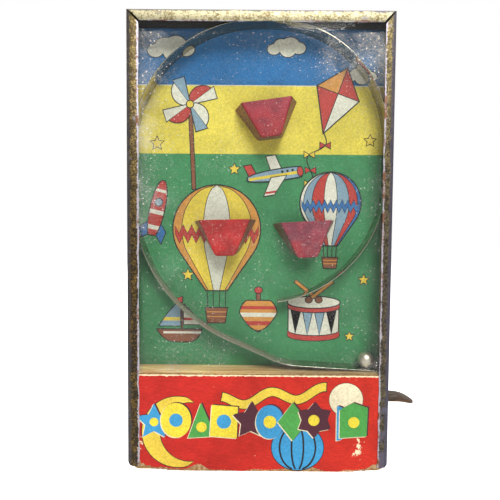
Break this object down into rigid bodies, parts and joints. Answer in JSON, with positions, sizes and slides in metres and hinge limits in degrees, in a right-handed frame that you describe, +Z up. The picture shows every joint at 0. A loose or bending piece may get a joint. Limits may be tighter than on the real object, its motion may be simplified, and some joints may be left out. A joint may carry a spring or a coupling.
{
  "type": "handheld pinball game",
  "caption": "Shallow glazed box game: a sprung thumb lever shoots a steel ball round bent tin tracks into open tin cups over a printed board.",
  "frame": {"origin": "centre of the case's underside, which is also the middle of its thickness", "axes": "+X to the right as the game is held, where the lever is; -Y out of the pane; +Z up the case"},
  "size_m": [0.1459, 0.02, 0.227],
  "materials": {
    "printed_tin": "satin, worn print",
    "pane": "clear, scratched",
    "strawboard": "matte",
    "back_card": "matte",
    "red_print": "satin, worn",
    "field_print": "satin, printed in bands",
    "pine": "raw",
    "tinplate": "bright",
    "red_tin": "dull enamel in front, bare behind",
    "ball_steel": "polished",
    "lever_steel": "tarnished",
    "nail_steel": "dull",
    "spring_steel": "bright",
    "pin_brass": "dull"
  },
  "bodies": {
    "case": {"edging_strip": "printed_tin", "glass_pane": "pane", "panel_board": "strawboard", "panel_paper": "red_print", "playfield_board": "strawboard", "playfield_paper": "field_print", "back_board": "back_card", "left_wall": "strawboard", "right_wall_upper": "strawboard", "right_wall_lower": "strawboard", "top_rail": "pine", "bottom_rail": "pine", "cross_rail": "pine", "left_batten": "pine", "right_batten": "pine", "left_track": "tinplate", "right_track": "tinplate", "cup_top": "red_tin", "cup_left": "red_tin", "cup_right": "red_tin", "mechanism_block": "pine", "pivot_pin": "nail_steel", "pivot_washer": "nail_steel", "lever_spring": "spring_steel", "spring_pin": "nail_steel", "edging_pins": "pin_brass"},
    "lever": {"lever": "lever_steel"},
    "ball": {"ball": "ball_steel"}
  },
  "joints": [
    {"name": "lever_press", "type": "hinge", "parent": "case", "child": "lever", "pos_m": [0.057, 0, 0.0385], "axis": [0, 1, 0], "range_deg": [0, 11], "stiffness_Nm_per_rad": 0.08, "springref_deg": -8.59, "deforming": ["lever_spring"]},
    {"name": "ball_roll", "type": "slide", "parent": "case", "child": "ball", "axis": [-0.9984, 0, 0.0558], "range_m": [0, 0.034]}
  ]
}
